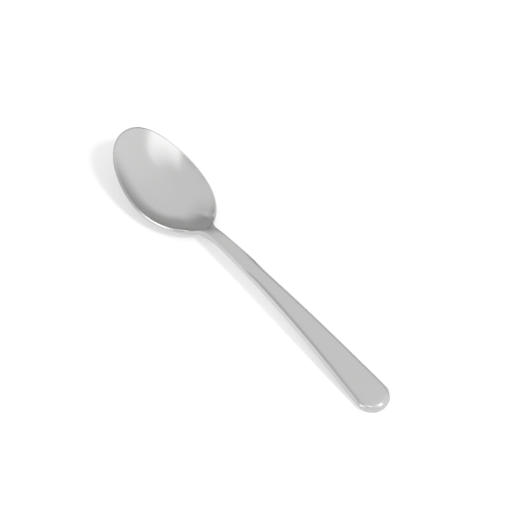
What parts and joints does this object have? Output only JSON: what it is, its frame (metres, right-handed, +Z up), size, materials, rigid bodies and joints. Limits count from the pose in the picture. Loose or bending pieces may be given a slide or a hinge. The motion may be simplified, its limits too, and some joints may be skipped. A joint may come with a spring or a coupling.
{
  "type": "dinner spoon",
  "caption": "Satin steel dinner spoon: oval bowl tipped up at the front, narrow neck and a flat arched handle that widens to a round end.",
  "frame": {"origin": "on the table under the middle of the spoon's box, as the spoon lies on its belly and handle end", "axes": "+X along the spoon from the bowl's tip towards the handle's end, +Z up out of the bowl, +Y across"},
  "size_m": [0.203, 0.041, 0.0223],
  "materials": {
    "satin_steel": "satin"
  },
  "bodies": {
    "root": {"bowl": "satin_steel", "handle": "satin_steel"}
  },
  "joints": []
}
